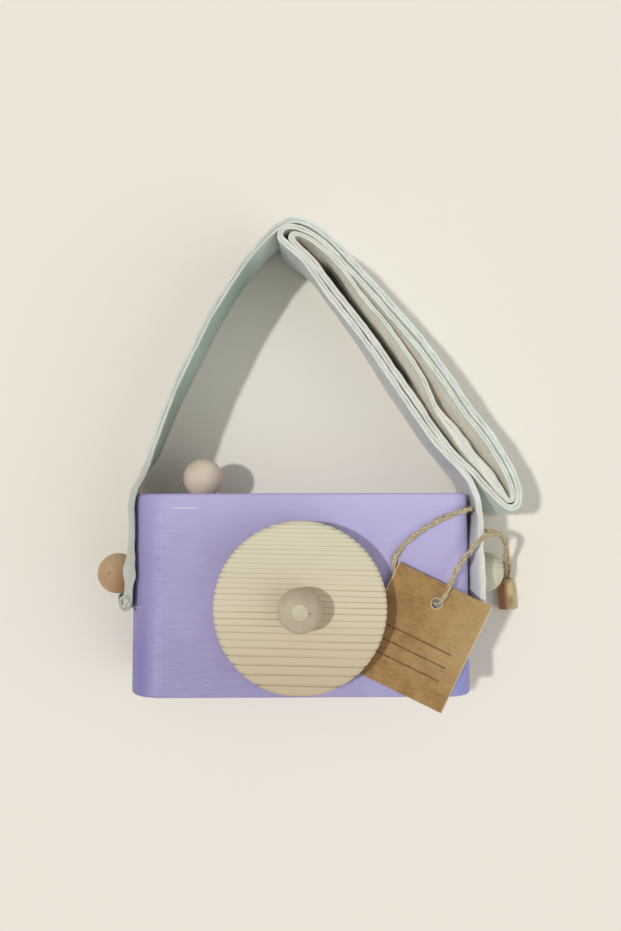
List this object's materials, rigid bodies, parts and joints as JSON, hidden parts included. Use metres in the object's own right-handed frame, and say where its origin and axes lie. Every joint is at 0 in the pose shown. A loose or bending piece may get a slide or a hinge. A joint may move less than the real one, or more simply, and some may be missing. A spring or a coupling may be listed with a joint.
{
  "type": "wooden toy camera",
  "caption": "Painted wooden toy camera with a turning pine lens disc, ball knobs, a folded cotton carrying strap and a plain card tag on twine.",
  "frame": {"origin": "middle of the block's flat back face, on which the toy lies", "axes": "+X to the right seen from the front, +Y to the toy's top where the shutter ball and strap are, +Z out of the lens"},
  "size_m": [0.1625, 0.1793, 0.0671],
  "materials": {
    "lilac_paint": "brushed lilac paint over a solid wooden block",
    "birch": "sanded, bare",
    "pine": "sanded, bare, straight growth rings",
    "tan_wood": "sanded, bare, darker",
    "pale_wood": "sanded, bare, paler",
    "canvas": "undyed cotton canvas, doubled with turned-in edges",
    "kraft_card": "bare kraft card",
    "jute": "twisted jute twine",
    "brown_plastic": "moulded snap lock"
  },
  "bodies": {
    "base": {"body_block": "lilac_paint", "lens_dowel": "birch", "lens_washer": "birch", "lens_ball": "birch", "shutter_dowel": "birch", "shutter_ball": "birch", "left_dowel": "birch", "left_ball": "tan_wood", "right_dowel": "birch", "right_ball": "pale_wood", "strap": "canvas", "twine": "jute", "lock_barrel": "brown_plastic", "lock_pin": "brown_plastic"},
    "lens": {"lens_disc": "pine"},
    "tag": {"tag_card": "kraft_card"}
  },
  "joints": [
    {"name": "lens_turn", "type": "hinge", "parent": "base", "child": "lens", "pos_m": [0, -0.0035, 0.0483], "axis": [0, 0, 1], "continuous": true},
    {"name": "tag_swing", "type": "hinge", "parent": "base", "child": "tag", "pos_m": [0.0476, -0.003, 0.04285], "axis": [-0.0222, -0.0455, 0.9987], "range_deg": [0, 45]}
  ]
}
